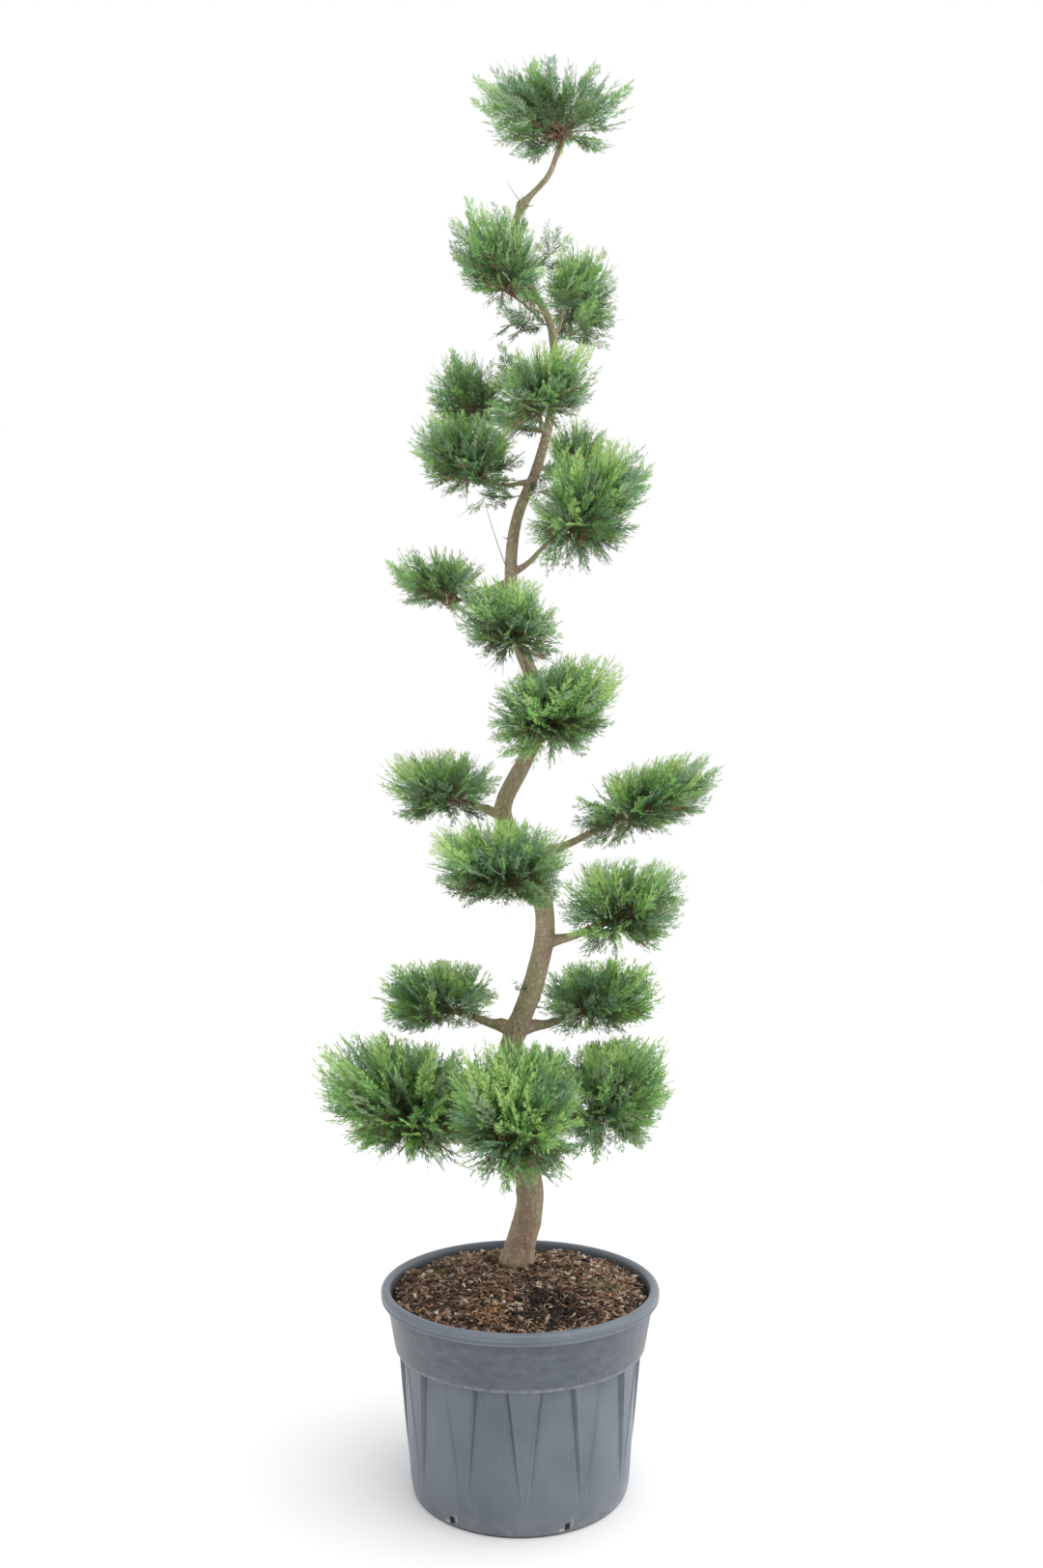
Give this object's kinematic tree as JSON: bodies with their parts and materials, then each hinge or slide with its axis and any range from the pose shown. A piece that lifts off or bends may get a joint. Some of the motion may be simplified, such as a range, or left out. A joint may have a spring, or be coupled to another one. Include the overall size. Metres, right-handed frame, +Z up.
{
  "type": "potted leyland cypress bonsai",
  "caption": "Cloud-pruned leyland cypress with a winding trunk and clipped cushions of green foliage, in a round ribbed slate-grey nursery pot of bark compost.",
  "frame": {"origin": "middle of the pot's flat underside", "axes": "+Z up along the pot's axis, +X to the right and -Y towards the viewer in the front view"},
  "size_m": [0.9791, 0.786, 3.2798],
  "materials": {
    "pot_plastic": "satin moulded plastic with dusty scuffs",
    "compost": "rough bark chips",
    "bark": "fissured bark",
    "foliage": "matt scale leaves"
  },
  "bodies": {
    "root": {"pot": "pot_plastic", "compost": "compost", "trunk": "bark", "bough_top_left": "bark", "bough_top_right": "bark", "bough_high_front": "bark", "bough_high_left": "bark", "bough_upper_left": "bark", "bough_upper_back": "bark", "bough_upper_right": "bark", "bough_middle_left": "bark", "bough_middle_front": "bark", "bough_waist_front": "bark", "bough_waist_left": "bark", "bough_waist_right": "bark", "bough_lower_front": "bark", "bough_lower_right": "bark", "bough_low_left": "bark", "bough_low_right": "bark", "bough_bottom_left": "bark", "bough_bottom_front": "bark", "bough_bottom_right": "bark", "bough_bottom_back": "bark", "bough_lower_back": "bark", "bough_waist_back": "bark", "foliage_crown": "foliage", "foliage_top_left": "foliage", "foliage_top_right": "foliage", "foliage_high_front": "foliage", "foliage_high_left": "foliage", "foliage_upper_left": "foliage", "foliage_upper_back": "foliage", "foliage_upper_right": "foliage", "foliage_middle_left": "foliage", "foliage_middle_front": "foliage", "foliage_waist_front": "foliage", "foliage_waist_left": "foliage", "foliage_waist_right": "foliage", "foliage_lower_front": "foliage", "foliage_lower_right": "foliage", "foliage_low_left": "foliage", "foliage_low_right": "foliage", "foliage_bottom_left": "foliage", "foliage_bottom_front": "foliage", "foliage_bottom_right": "foliage", "foliage_bottom_back": "foliage", "foliage_lower_back": "foliage", "foliage_waist_back": "foliage"}
  },
  "joints": []
}
